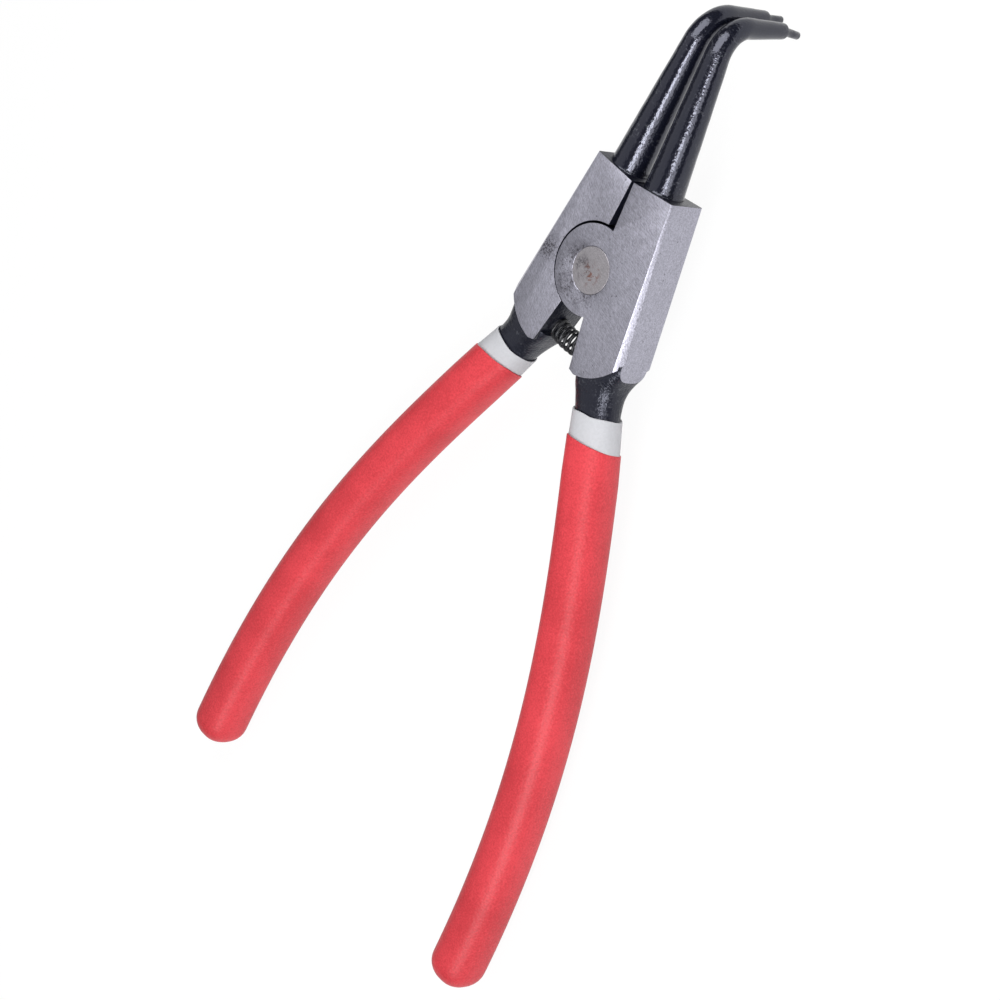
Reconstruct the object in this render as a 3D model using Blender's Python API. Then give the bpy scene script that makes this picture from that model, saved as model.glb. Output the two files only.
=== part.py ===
"""Circlip pliers for outside rings: two forged levers on a flush rivet, with bent noses and stepped tips,
a coil spring that closes the tips, and handles dipped twice, first white and then red.

Metres, +Z up. The origin is on the pivot axis in the ground front face of the joint. +Y points to the
noses and +Z is the pivot axis, so the tips bend down, away from the front face. The right lever is at +X.
"""

import bisect
import math

import bmesh
import bpy
from mathutils import Matrix, Vector, geometry

MM = 0.001

# Joint block
BLOCK_THICKNESS = 8.2 * MM
LAP_GAP = 0.3 * MM
LOBE_RADIUS = 8.0 * MM
LOBE_CLEARANCE = 0.3 * MM
SHOULDER_HEIGHT = 17.0 * MM
SHOULDER_RISE = 0.8 * MM
SHOULDER_HALF_WIDTH = 9.4 * MM
HIP_HALF_WIDTH = 14.2 * MM
HIP_DEPTH = 10.7 * MM
SLOT_TOP = 0.28 * MM
SLOT_ROOT = 0.75 * MM
THROAT_TOP = 3.0 * MM
THROAT_BOTTOM = 4.8 * MM
THROAT_DEPTH = 16.1 * MM
HEEL_WIDTH = 1.3 * MM
HEEL_DROP = 0.5 * MM
CHAMFER_TOP = 0.15 * MM
CHAMFER_BOTTOM = 1.0 * MM
HIP_PULL_WIDTH = 11.0 * MM
HIP_PULL_DEPTH = 15.8 * MM

# Rivet
SHANK_RADIUS = 3.3 * MM
RIVET_FACE_RADIUS = 4.1 * MM
COUNTERSINK_DEPTH = 1.0 * MM
RUNNING_CLEARANCE = 0.1 * MM

# Noses and tips
NOSE_SPREAD = 4.35 * MM
NOSE_LEAN = -0.6 * MM
TIP_SPREAD = 2.3 * MM
TIP_LEAN = -1.4 * MM
NOSE_REACH = 47.0 * MM
TIP_DROP = 14.4 * MM
BEND_RADIUS = 5.5 * MM
BEND_ANGLE = math.radians(86)
NOSE_BASE_RADIUS = 3.5 * MM
NOSE_BEND_RADIUS = 2.2 * MM
NOSE_END_RADIUS = 1.4 * MM
COLLAR_FLARE = 0.2 * MM
COLLAR_HEIGHT = 0.9 * MM
COLLAR_BURIED = 2.5 * MM
PIN_RADIUS = 0.73 * MM
PIN_END_RADIUS = 0.6 * MM
PIN_LENGTH = 4.1 * MM
PIN_ANGLE = math.radians(95)
EDGE_BREAK = 0.12 * MM

# Arms, measured along their curve from a root inside the joint block
ARM_ROOT_X = 7.9 * MM
ARM_ROOT_DEPTH = 13.2 * MM
ARM_SPLAY = math.radians(23)
ARM_LEAD = 34.5 * MM
ARM_TAIL = 52.5 * MM
HANDLE_HALF_SPREAD = 36.7 * MM
HANDLE_DEPTH = 124.2 * MM
NECK_WIDTH = 8.4 * MM
NECK_THICKNESS = 6.6 * MM
NECK_END = 7.8 * MM
NECK_STEP = 0.25 * MM
ROOT_FLARE = 2.0 * MM
ROOT_NARROWING = 1.0 * MM

# The neck's flare at shares of its length: shares of the narrowing, the flare and the extra thickness
NECK_FLARE = (
    (0.0, 1.0, 0.75, 1.0),
    (0.3, 0.33, 1.0, 1.0),
    (0.5, 0.0, 0.7, 0.6),
    (0.75, 0.0, 0.25, 0.2),
    (1.0, 0.0, 0.0, 0.0),
)

# Dipped handles
WHITE_MOUTH = 9.2 * MM
WHITE_WALL = 0.4 * MM
RED_MOUTH = 14.8 * MM
RED_WALL = 0.7 * MM
SEAT_GAP = 0.3 * MM
GRIP_WIDTH = 9.4 * MM
GRIP_THICKNESS = 9.7 * MM
GRIP_TAPER_END = 20.0 * MM
GRIP_END_ROUND = 4.2 * MM

# The steel's taper under the dips: place along the arm and share of the way from the neck to the core
CORE_TAPER = ((WHITE_MOUTH, 0.2), (RED_MOUTH, 0.75), (GRIP_TAPER_END, 1.0))

# Return spring
SPRING_RADIUS = 2.0 * MM
SPRING_WIRE_RADIUS = 0.25 * MM
SPRING_TURNS = 10
SPRING_DEPTH = 13.2 * MM
POCKET_CLEARANCE = 0.3 * MM
POCKET_DEPTH = 1.3 * MM

# Finishes: base colour, roughness and metallic
FINISHES = {
    "ground_steel": ((0.36, 0.35, 0.37), 0.38, 1.0),
    "rivet_steel": ((0.42, 0.39, 0.37), 0.42, 1.0),
    "black_spring_steel": ((0.02, 0.02, 0.024), 0.35, 0.6),
    "white_dip": ((0.66, 0.67, 0.69), 0.4, 0.0),
    "red_dip": ((0.62, 0.055, 0.06), 0.45, 0.0),
}

# Facets
LOBE_SEGMENTS = 64
RIVET_SEGMENTS = 48
NOSE_SEGMENTS = 20
ARM_SEGMENTS = 20
POINTS_PER_TURN = 14
SECTION_POWER = 2.3
NOSE_STEPS = 6
BEND_STEPS = 7
GRIP_STEPS = 9
END_STEPS = 4
HIP_STEPS = 8
CURVE_POINTS = 300
SHARP_ANGLE = math.radians(35)
MERGE_DISTANCE = 0.001 * MM

MID_Z = -BLOCK_THICKNESS / 2
LAYERS = WHITE_WALL + RED_WALL + 2 * SEAT_GAP
RIGHT, LEFT = 1, -1
SIDE_NAMES = {RIGHT: "right", LEFT: "left"}


def clear_scene():
    for obj in list(bpy.data.objects):
        bpy.data.objects.remove(obj, do_unlink=True)


def make_material(name, colour, roughness, metallic):
    material = bpy.data.materials.new(name)
    material.use_nodes = True
    shader = material.node_tree.nodes["Principled BSDF"]
    shader.inputs["Base Color"].default_value = (*colour, 1.0)
    shader.inputs["Roughness"].default_value = roughness
    shader.inputs["Metallic"].default_value = metallic
    material.diffuse_color = (*colour, 1.0)
    return material


def make_object(name, bm, parent, material=None):
    """The closed mesh as an object under the parent. Without a material it is a hidden boolean helper."""
    bmesh.ops.recalc_face_normals(bm, faces=bm.faces)
    mesh = bpy.data.meshes.new(name)
    bm.to_mesh(mesh)
    bm.free()
    mesh.shade_smooth()
    mesh.set_sharp_from_angle(angle=SHARP_ANGLE)
    obj = bpy.data.objects.new(name, mesh)
    bpy.context.scene.collection.objects.link(obj)
    obj.parent = parent
    if material:
        mesh.materials.append(material)
    else:
        obj.hide_render = True
        obj.display_type = "WIRE"
    return obj


def make_axis(name):
    """An empty on the pivot axis, in the middle of the joint's thickness."""
    axis = bpy.data.objects.new(name, None)
    axis.location = (0, 0, MID_Z)
    bpy.context.scene.collection.objects.link(axis)
    return axis


def add_boolean(obj, helper, operation):
    modifier = obj.modifiers.new(helper.name, "BOOLEAN")
    modifier.operation = operation
    modifier.object = helper


def between(stations, distance, column):
    """The column's value at a distance, on straight lines between stations whose first column rises."""
    for low, high in zip(stations, stations[1:]):
        if distance <= high[0]:
            share = max(0.0, (distance - low[0]) / (high[0] - low[0]))
            return low[column] + share * (high[column] - low[column])
    return stations[-1][column]


def section_ring(bm, frame, inner, outer, half_height, segments, power=2.0):
    """A closed ring in the frame's XY plane. Its rounded outline reaches inner at -X and outer at +X."""
    ring = bmesh.ops.create_circle(bm, cap_ends=False, segments=segments, radius=1.0)["verts"]
    edges = {edge for vert in ring for edge in vert.link_edges}
    for vert in ring:
        reach = outer if vert.co.x > 0 else inner
        across = math.copysign(abs(vert.co.x) ** (2 / power), vert.co.x) * reach
        along = math.copysign(abs(vert.co.y) ** (2 / power), vert.co.y) * half_height
        vert.co = frame @ Vector((across, along, 0))
    return list(edges)


def loft(bm, rings):
    for first, second in zip(rings, rings[1:]):
        bmesh.ops.bridge_loops(bm, edges=first + second)


def close_ring(bm, ring):
    bmesh.ops.contextual_create(bm, geom=ring)


def turned(profile, segments):
    """A bmesh turned about Z from (radius, height) points that start and end on the axis."""
    bm = bmesh.new()
    points = [bm.verts.new((radius, 0, height)) for radius, height in profile]
    line = [bm.edges.new(pair) for pair in zip(points, points[1:])]
    bmesh.ops.spin(
        bm, geom=points + line, axis=(0, 0, 1), angle=math.tau, steps=segments, use_merge=True
    )
    bmesh.ops.remove_doubles(bm, verts=bm.verts, dist=MERGE_DISTANCE)
    return bm


# Joint block


def slot_x(y):
    """How far the side of the slot between the levers stands off the centre line."""
    return SLOT_TOP + (SLOT_ROOT - SLOT_TOP) * (SHOULDER_HEIGHT - y) / (SHOULDER_HEIGHT - LOBE_RADIUS)


def throat_x(y):
    """How far the inner wall below the joint stands off the centre line."""
    return THROAT_TOP + (THROAT_BOTTOM - THROAT_TOP) * (-y - LOBE_RADIUS) / (THROAT_DEPTH - LOBE_RADIUS)


def block_outline(side):
    """One lever's ground face: shoulder, outer edge, rounded hip and heel, and two points in the lobe."""
    hip = Vector((HIP_HALF_WIDTH, -HIP_DEPTH))
    heel = Vector((THROAT_BOTTOM + HEEL_WIDTH, -THROAT_DEPTH - HEEL_DROP))
    pull = Vector((HIP_PULL_WIDTH, -HIP_PULL_DEPTH))
    shares = [step / HIP_STEPS for step in range(HIP_STEPS + 1)]
    hip_curve = [hip.lerp(pull, t).lerp(pull.lerp(heel, t), t) for t in shares]
    in_lobe = LOBE_RADIUS / 2
    outline = [
        (SLOT_TOP, SHOULDER_HEIGHT),
        (SHOULDER_HALF_WIDTH, SHOULDER_HEIGHT + SHOULDER_RISE),
        *[tuple(point) for point in hip_curve],
        (THROAT_BOTTOM, -THROAT_DEPTH),
        (throat_x(-in_lobe), -in_lobe),
        (slot_x(in_lobe), in_lobe),
    ]
    return [(side * x, y) for x, y in outline]


def chamfer_outer_edges(bm, side):
    """Cuts the long outer edges by a flat that widens from the shoulder to the hip."""
    shoulder = Vector((SHOULDER_HALF_WIDTH, SHOULDER_HEIGHT + SHOULDER_RISE, BLOCK_THICKNESS / 2))
    hip = Vector((HIP_HALF_WIDTH, -HIP_DEPTH, BLOCK_THICKNESS / 2))
    on_face = shoulder - Vector((CHAMFER_TOP, 0, 0))
    on_flank = shoulder - Vector((0, 0, CHAMFER_TOP))
    at_hip = hip - Vector((CHAMFER_BOTTOM, 0, 0))
    normal = (on_flank - on_face).cross(at_hip - on_face)
    if normal.x < 0:
        normal.negate()
    for face in (1, -1):
        mirror = Matrix.Diagonal((side, 1, face))
        cut = bmesh.ops.bisect_plane(
            bm,
            geom=list(bm.verts) + list(bm.edges) + list(bm.faces),
            plane_co=mirror @ on_face,
            plane_no=mirror @ normal,
            clear_outer=True,
        )
        rim = [item for item in cut["geom_cut"] if isinstance(item, bmesh.types.BMEdge)]
        bmesh.ops.contextual_create(bm, geom=rim)


def disc_helper(name, axis, radius, low, high):
    bm = bmesh.new()
    bmesh.ops.create_cone(
        bm,
        cap_ends=True,
        segments=LOBE_SEGMENTS,
        radius1=radius,
        radius2=radius,
        depth=high - low,
        matrix=Matrix.Translation((0, 0, (low + high) / 2)),
    )
    return make_object(name, bm, axis)


def lobe_helper(side, axis):
    """The round half-thickness lobe, at the front on the right lever and at the back on the left one."""
    levels = sorted((side * LAP_GAP / 2, side * BLOCK_THICKNESS / 2))
    return disc_helper(f"lobe_{SIDE_NAMES[side]}", axis, LOBE_RADIUS, *levels)


def lap_helper(side, axis):
    """The space that the other lever's lobe turns in. It runs out past the block's other face."""
    levels = sorted((side * LAP_GAP / 2, -side * BLOCK_THICKNESS))
    return disc_helper(f"lap_space_{SIDE_NAMES[side]}", axis, LOBE_RADIUS + LOBE_CLEARANCE, *levels)


def rivet_profile(clearance, overrun):
    """Half of a countersunk rivet's outline as (radius, height). Overrun lengthens it past both faces."""
    half = BLOCK_THICKNESS / 2
    face = RIVET_FACE_RADIUS + clearance
    shank = SHANK_RADIUS + clearance
    upper = [(shank, half - COUNTERSINK_DEPTH), (face, half)]
    if overrun:
        upper.append((face, half + overrun))
    upper.append((0, half + overrun))
    return [(radius, -height) for radius, height in reversed(upper)] + upper


def wall_frame(side):
    """The middle of a spring pocket's mouth, with Z along the wall's normal into the throat."""
    rise = THROAT_DEPTH - LOBE_RADIUS
    lean = math.atan2(THROAT_BOTTOM - THROAT_TOP, rise)
    turn = Matrix.Rotation(-side * math.pi / 2, 4, "Y")
    tilt = Matrix.Rotation(side * lean, 4, "Z")
    mouth = Matrix.Translation((side * throat_x(-SPRING_DEPTH), -SPRING_DEPTH, 0))
    return mouth @ tilt @ turn, lean


def pocket_helper(side, axis):
    frame, _ = wall_frame(side)
    depth = 2 * POCKET_DEPTH
    bm = bmesh.new()
    radius = SPRING_RADIUS + POCKET_CLEARANCE
    bmesh.ops.create_cone(
        bm, cap_ends=True, segments=NOSE_SEGMENTS, radius1=radius, radius2=radius, depth=depth, matrix=frame
    )
    return make_object(f"spring_pocket_{SIDE_NAMES[side]}", bm, axis)


# Noses


def nose_sections(side):
    """A nose as (centre, direction, radius), from its root in the block to the end of its pin.

    Both noses lean the same way off the centre line, so each side has its own.
    """
    corner = Vector((side * TIP_SPREAD + TIP_LEAN, NOSE_REACH, 0))
    base = Vector((side * NOSE_SPREAD + NOSE_LEAN, SHOULDER_HEIGHT + SHOULDER_RISE / 2, 0))
    ahead = (corner - base).normalized()
    down = Vector((0, 0, -1))
    bend_start = corner - BEND_RADIUS * ahead
    run = (bend_start - base).length
    sections = [
        (base - COLLAR_BURIED * ahead, ahead, NOSE_BASE_RADIUS),
        (base - COLLAR_HEIGHT * ahead, ahead, NOSE_BASE_RADIUS + COLLAR_FLARE),
        (base + COLLAR_HEIGHT / 3 * ahead, ahead, NOSE_BASE_RADIUS + COLLAR_FLARE),
    ]
    for step in range(NOSE_STEPS):
        travelled = COLLAR_HEIGHT + (run - COLLAR_HEIGHT) * step / NOSE_STEPS
        radius = NOSE_BASE_RADIUS + (NOSE_BEND_RADIUS - NOSE_BASE_RADIUS) * travelled / run
        sections.append((base + travelled * ahead, ahead, radius))
    bend_drop = BEND_RADIUS * (1 - math.cos(BEND_ANGLE))
    drop = (TIP_DROP - bend_drop) / math.sin(BEND_ANGLE)
    bend_length = BEND_RADIUS * BEND_ANGLE
    narrowing = NOSE_BEND_RADIUS - NOSE_END_RADIUS

    def heading(angle):
        return math.cos(angle) * ahead + math.sin(angle) * down

    for step in range(BEND_STEPS + 1):
        angle = BEND_ANGLE * step / BEND_STEPS
        centre = bend_start + BEND_RADIUS * (math.sin(angle) * ahead + (1 - math.cos(angle)) * down)
        share = step / BEND_STEPS * bend_length / (bend_length + drop)
        sections.append((centre, heading(angle), NOSE_BEND_RADIUS - narrowing * share))
    falling = heading(BEND_ANGLE)
    shoulder = sections[-1][0] + drop * falling
    fillet = (NOSE_END_RADIUS - PIN_RADIUS) / 2
    sections += [
        (shoulder - 2 * fillet * falling, falling, NOSE_END_RADIUS),
        (shoulder - fillet / 2 * falling, falling, NOSE_END_RADIUS - fillet / 3),
        (shoulder, falling, NOSE_END_RADIUS - fillet),
    ]
    along_pin = heading(PIN_ANGLE)
    pin = [
        (EDGE_BREAK, PIN_RADIUS),
        (PIN_LENGTH - EDGE_BREAK, PIN_END_RADIUS),
        (PIN_LENGTH, PIN_END_RADIUS - EDGE_BREAK),
    ]
    sections += [(shoulder + reach * along_pin, along_pin, radius) for reach, radius in pin]
    return sections


def nose_helper(side, axis):
    bm = bmesh.new()
    rings = []
    for centre, heading, radius in nose_sections(side):
        frame = heading.to_track_quat("Z", "X").to_matrix().to_4x4()
        frame.translation = centre
        rings.append(section_ring(bm, frame, radius, radius, radius, NOSE_SEGMENTS))
    loft(bm, rings)
    close_ring(bm, rings[0])
    close_ring(bm, rings[-1])
    return make_object(f"nose_{SIDE_NAMES[side]}", bm, axis)


# Arms and dips


def arm_frames(side):
    """A function from a distance along the arm to its section's matrix, and the steel arm's length."""
    splay = Vector((side * math.sin(ARM_SPLAY), -math.cos(ARM_SPLAY), 0))
    root = Vector((side * ARM_ROOT_X, -ARM_ROOT_DEPTH, 0))
    end = Vector((side * HANDLE_HALF_SPREAD, LAYERS - HANDLE_DEPTH, 0))
    tail = end + Vector((0, ARM_TAIL, 0))
    points = geometry.interpolate_bezier(root, root + ARM_LEAD * splay, tail, end, CURVE_POINTS)
    travelled = [0.0]
    for first, second in zip(points, points[1:]):
        travelled.append(travelled[-1] + (second - first).length)

    def frame(distance):
        index = min(bisect.bisect_right(travelled, distance), len(points) - 1)
        along = (points[index] - points[index - 1]).normalized()
        outward = side * Vector((-along.y, along.x, 0))
        up = Vector((0, 0, 1))
        matrix = Matrix((outward, up, outward.cross(up))).transposed().to_4x4()
        matrix.translation = points[index - 1] + along * (distance - travelled[index - 1])
        return matrix

    return frame, travelled[-1]


def arm_stations():
    """The steel arm's sections: distance from the root, inner and outer half width, half thickness."""
    neck = NECK_WIDTH / 2
    core = GRIP_WIDTH / 2 - LAYERS
    flat = BLOCK_THICKNESS / 2 - NECK_STEP
    neck_height = NECK_THICKNESS / 2
    core_height = GRIP_THICKNESS / 2 - LAYERS
    sections = []
    for share, narrowing, flare, extra in NECK_FLARE:
        height = neck_height + extra * (flat - neck_height)
        inner, outer = neck - narrowing * ROOT_NARROWING, neck + flare * ROOT_FLARE
        sections.append((share * NECK_END, inner, outer, height))
    for distance, share in CORE_TAPER:
        width = neck + share * (core - neck)
        sections.append((distance, width, width, neck_height + share * (core_height - neck_height)))
    return sections


def layer_rings(bm, side, start, offset):
    """Rings along an arm at an offset from the steel, from a start distance round the blunt end."""
    frame, length = arm_frames(side)
    stations = arm_stations()
    end_round = GRIP_END_ROUND - LAYERS + offset
    flat_end = length + offset - end_round
    taper = [start] + [row[0] for row in stations if row[0] > start]
    straight = flat_end - taper[-1]
    distances = taper + [taper[-1] + straight * (step + 1) / GRIP_STEPS for step in range(GRIP_STEPS)]
    insets = [0.0] * len(distances)
    for step in range(END_STEPS):
        angle = math.pi / 2 * (step + 1) / END_STEPS
        distances.append(flat_end + end_round * math.sin(angle))
        insets.append(end_round * (1 - math.cos(angle)))
    rings = []
    for distance, inset in zip(distances, insets):
        inner, outer, height = (between(stations, distance, column) + offset - inset for column in (1, 2, 3))
        rings.append(section_ring(bm, frame(distance), inner, outer, height, ARM_SEGMENTS, SECTION_POWER))
    return rings


def arm_helper(side, axis):
    bm = bmesh.new()
    rings = layer_rings(bm, side, 0.0, 0.0)
    loft(bm, rings)
    close_ring(bm, rings[0])
    close_ring(bm, rings[-1])
    return make_object(f"arm_{SIDE_NAMES[side]}", bm, axis)


def make_dip(name, side, axis, mouth, inside, wall, material):
    """A dipped skin: a sleeve on the arm, open at its mouth and closed round the arm's end."""
    bm = bmesh.new()
    rings = layer_rings(bm, side, mouth, inside + wall)
    loft(bm, rings)
    close_ring(bm, rings[-1])
    dip = make_object(name, bm, axis, material)
    solidify = dip.modifiers.new("wall", "SOLIDIFY")
    solidify.thickness = wall
    solidify.offset = -1
    solidify.use_even_offset = True
    return dip


# Whole pieces


def make_lever(side, axis, material):
    """One forged lever: ground joint block, lobe, nose and arm, bored for the rivet and the spring."""
    bm = bmesh.new()
    half = BLOCK_THICKNESS / 2
    face = bm.faces.new([bm.verts.new((x, y, -half)) for x, y in block_outline(side)])
    raised = bmesh.ops.extrude_face_region(bm, geom=[face])["geom"]
    top = [item for item in raised if isinstance(item, bmesh.types.BMVert)]
    bmesh.ops.translate(bm, vec=(0, 0, BLOCK_THICKNESS), verts=top)
    chamfer_outer_edges(bm, side)
    lever = make_object(f"{SIDE_NAMES[side]}_lever", bm, axis, material)
    bore = make_object(
        f"rivet_bore_{SIDE_NAMES[side]}",
        turned(rivet_profile(RUNNING_CLEARANCE, BLOCK_THICKNESS / 2), RIVET_SEGMENTS),
        axis,
    )
    add_boolean(lever, lap_helper(side, axis), "DIFFERENCE")
    add_boolean(lever, lobe_helper(side, axis), "UNION")
    add_boolean(lever, arm_helper(side, axis), "UNION")
    add_boolean(lever, nose_helper(side, axis), "UNION")
    add_boolean(lever, bore, "DIFFERENCE")
    add_boolean(lever, pocket_helper(side, axis), "DIFFERENCE")
    return lever


def make_spring(axis, material):
    """A coil from pocket to pocket, bowed on the arc that leaves both pockets square."""
    frame, lean = wall_frame(RIGHT)
    seat = frame @ Vector((0, 0, SEAT_GAP + SPRING_WIRE_RADIUS - POCKET_DEPTH))
    bow = seat.x / math.sin(lean)
    centre_y = seat.y + seat.x / math.tan(lean)
    curve = bpy.data.curves.new("return_spring", "CURVE")
    curve.dimensions = "3D"
    curve.bevel_depth = SPRING_WIRE_RADIUS
    curve.bevel_resolution = 1
    curve.use_fill_caps = True
    spline = curve.splines.new("POLY")
    count = SPRING_TURNS * POINTS_PER_TURN
    spline.points.add(count)
    for index, point in enumerate(spline.points):
        share = index / count
        swing = lean * (1 - 2 * share)
        turn = math.tau * SPRING_TURNS * share
        reach = bow + (SPRING_RADIUS - SPRING_WIRE_RADIUS) * math.cos(turn)
        height = (SPRING_RADIUS - SPRING_WIRE_RADIUS) * math.sin(turn)
        point.co = (reach * math.sin(swing), centre_y - reach * math.cos(swing), height, 1)
    spring = bpy.data.objects.new("return_spring", curve)
    spring.parent = axis
    bpy.context.scene.collection.objects.link(spring)
    curve.materials.append(material)
    return spring


def main():
    clear_scene()
    finishes = {name: make_material(name, *values) for name, values in FINISHES.items()}
    axes = {side: make_axis(f"{SIDE_NAMES[side]}_lever_axis") for side in (LEFT, RIGHT)}
    under_red = 2 * SEAT_GAP + WHITE_WALL
    for side, axis in axes.items():
        name = SIDE_NAMES[side]
        make_lever(side, axis, finishes["ground_steel"])
        make_dip(f"{name}_undercoat", side, axis, WHITE_MOUTH, SEAT_GAP, WHITE_WALL, finishes["white_dip"])
        make_dip(f"{name}_grip", side, axis, RED_MOUTH, under_red, RED_WALL, finishes["red_dip"])
    rivet = turned(rivet_profile(0.0, 0.0), RIVET_SEGMENTS)
    make_object("pivot_rivet", rivet, axes[LEFT], finishes["rivet_steel"])
    make_spring(axes[LEFT], finishes["black_spring_steel"])


main()
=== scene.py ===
"""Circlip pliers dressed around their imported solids: ground joint, oxidised noses and necks, dipped handles.

The sizes below follow the solids, in the same frame: +Y runs to the noses, +Z out of the front face, and
the pivot axis is Z. Pieces are modelled about the middle of the joint's thickness and then set down to it.
"""

import bisect
import math

import bmesh
import bpy
from bpy.props import FloatProperty, FloatVectorProperty, IntProperty, PointerProperty
from mathutils import Matrix, Vector, geometry, noise


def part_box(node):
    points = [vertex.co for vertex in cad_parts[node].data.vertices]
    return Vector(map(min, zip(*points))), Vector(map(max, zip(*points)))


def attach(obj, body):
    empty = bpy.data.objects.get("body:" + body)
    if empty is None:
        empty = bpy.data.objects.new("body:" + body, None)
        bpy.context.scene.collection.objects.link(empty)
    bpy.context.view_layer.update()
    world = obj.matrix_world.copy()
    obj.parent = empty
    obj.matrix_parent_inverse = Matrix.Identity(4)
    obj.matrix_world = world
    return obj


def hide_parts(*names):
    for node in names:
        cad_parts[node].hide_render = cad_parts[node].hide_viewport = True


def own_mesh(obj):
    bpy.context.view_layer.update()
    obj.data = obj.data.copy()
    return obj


bl_info = {
    "name": "Circlip pliers",
    "version": (1, 0, 0),
    "blender": (4, 5, 0),
    "location": "3D View > Sidebar > Pliers",
    "description": "Bent nose circlip pliers with ground steel, black oxide and dipped handles",
    "category": "Object",
}

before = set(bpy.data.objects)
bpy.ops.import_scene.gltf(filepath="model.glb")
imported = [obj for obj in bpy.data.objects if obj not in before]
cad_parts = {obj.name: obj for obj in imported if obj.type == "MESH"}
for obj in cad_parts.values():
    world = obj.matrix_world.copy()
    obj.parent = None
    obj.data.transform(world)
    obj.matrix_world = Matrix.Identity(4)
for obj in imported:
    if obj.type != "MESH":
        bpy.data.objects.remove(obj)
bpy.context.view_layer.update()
RIVET_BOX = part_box("pivot_rivet")

MM = 0.001
RIGHT, LEFT = 1, -1
SIDE_NAMES = {RIGHT: "right", LEFT: "left"}
THICKNESS = RIVET_BOX[1].z - RIVET_BOX[0].z
MID_Z = (RIVET_BOX[0].z + RIVET_BOX[1].z) / 2

# Points round each kind of section, and along each turn of the coil
BORE_SEGMENTS = 72
NOSE_SEGMENTS = 48
NECK_SEGMENTS = 64
DIP_SEGMENTS = 72
WIRE_SEGMENTS = 10
RIVET_SEGMENTS = 96
POINTS_PER_TURN = 28

# Where the wandering of each dip's edge starts in the noise
WHITE_SEED, RED_SEED = 2.3, 7.1

# How far each dip's edge runs on along the arm per width, towards the outside
WHITE_SLANT = {RIGHT: 0.18, LEFT: 0.13}
RED_SLANT = {RIGHT: 0.26, LEFT: 0.44}

# How far the front of each dip's edge lies nearer the joint, per thickness
WHITE_LEAN = {RIGHT: 0.0, LEFT: 0.06}
RED_LEAN = {RIGHT: 0.15, LEFT: 0.34}

# How much nearer the joint than the solids each dip's edge is
WHITE_SHIFT = {RIGHT: 0.4 * MM, LEFT: 1.1 * MM}
RED_SHIFT = {RIGHT: 0.65 * MM, LEFT: 1.6 * MM}

# Where the two forgings differ a little, as shares and lengths taken from the sizes below
FLARE_SHARE = {RIGHT: 1.0, LEFT: 0.5}
NARROWING_SHARE = {RIGHT: 0.9, LEFT: -0.3}
HIP_TRIM = {RIGHT: -0.05 * MM, LEFT: 0.35 * MM}
ROOT_TRIM = {RIGHT: 0.0, LEFT: 0.4 * MM}
PIN_LIFT = {RIGHT: 0.0, LEFT: math.radians(9)}

# Marks on the ground faces
GRAIN_TURN = {RIGHT: math.radians(15), LEFT: math.radians(35)}
CROSS_GRAIN = math.radians(52)
RIVET_STAIN = (-1.6 * MM, -1.8 * MM, 0.0)
EDGE_STAIN = (-10.5 * MM, -1.3 * MM, 0.0)
RIVET_GRIME = (-1.9 * MM, -0.3 * MM, 0.0)


def length(name, description, millimetres):
    return FloatProperty(
        name=name, description=description, default=millimetres * MM, unit="LENGTH", precision=5
    )


def turn(name, description, degrees):
    return FloatProperty(name=name, description=description, default=math.radians(degrees), subtype="ANGLE")


def number(name, description, default):
    return FloatProperty(name=name, description=description, default=default)


def colour(name, description, default):
    return FloatVectorProperty(
        name=name, description=description, default=default, size=3, subtype="COLOR", min=0.0, max=1.0
    )


class JointSizes(bpy.types.PropertyGroup):
    lap_gap: length("Lap gap", "Gap between the two lapped halves", 0.3)
    lobe_radius: length("Lobe radius", "Radius of the round lobe about the pivot", 8.0)
    lobe_clearance: length("Lobe clearance", "Gap round each lobe", 0.28)
    lobe_shift: length("Lobe shift", "How far the gap round the lobe is wider at the top", 0.17)
    shoulder_height: length("Shoulder height", "Pivot to the shoulder at the slot", 17.0)
    shoulder_rise: length("Shoulder rise", "How much the shoulder climbs outwards", 0.8)
    shoulder_half_width: length("Shoulder half width", "Centre line to the outer edge at the top", 9.4)
    hip_half_width: length("Hip half width", "Centre line to the outer edge at the hip", 14.2)
    hip_depth: length("Hip depth", "Pivot to the hip", 10.7)
    hip_pull_width: length("Hip pull width", "Width of the point that rounds the hip", 11.0)
    hip_pull_depth: length("Hip pull depth", "Depth of the point that rounds the hip", 15.8)
    slot_top: length("Slot at the top", "Half the slot's width at the shoulder", 0.28)
    slot_root: length("Slot at the root", "Half the slot's width at the lobes", 0.75)
    throat_top: length("Throat at the top", "Half the throat's width at the lobes", 3.0)
    throat_bottom: length("Throat at the bottom", "Half the throat's width at the heel", 4.8)
    throat_depth: length("Throat depth", "Pivot to the heel", 16.4)
    heel_width: length("Heel width", "Flat of the heel", 1.3)
    heel_drop: length("Heel drop", "How far the heel dips", 0.35)
    chamfer_top: length("Chamfer at the top", "Chamfer width at the shoulder", 0.28)
    chamfer_bottom: length("Chamfer at the bottom", "Chamfer width at the hip", 1.1)
    back_chamfer: length("Back chamfer", "Width of the back's chamfer at the hip", 0.16)
    edge_round: length("Edge round", "Rounding of the ground edges", 0.09)
    shank_radius: length("Rivet shank", "Radius of the rivet's shank", 3.3)
    countersink: length("Countersink", "Depth of the rivet's countersunk heads", 1.0)
    rivet_clearance: length("Rivet clearance", "Gap round the rivet", 0.1)


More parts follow.
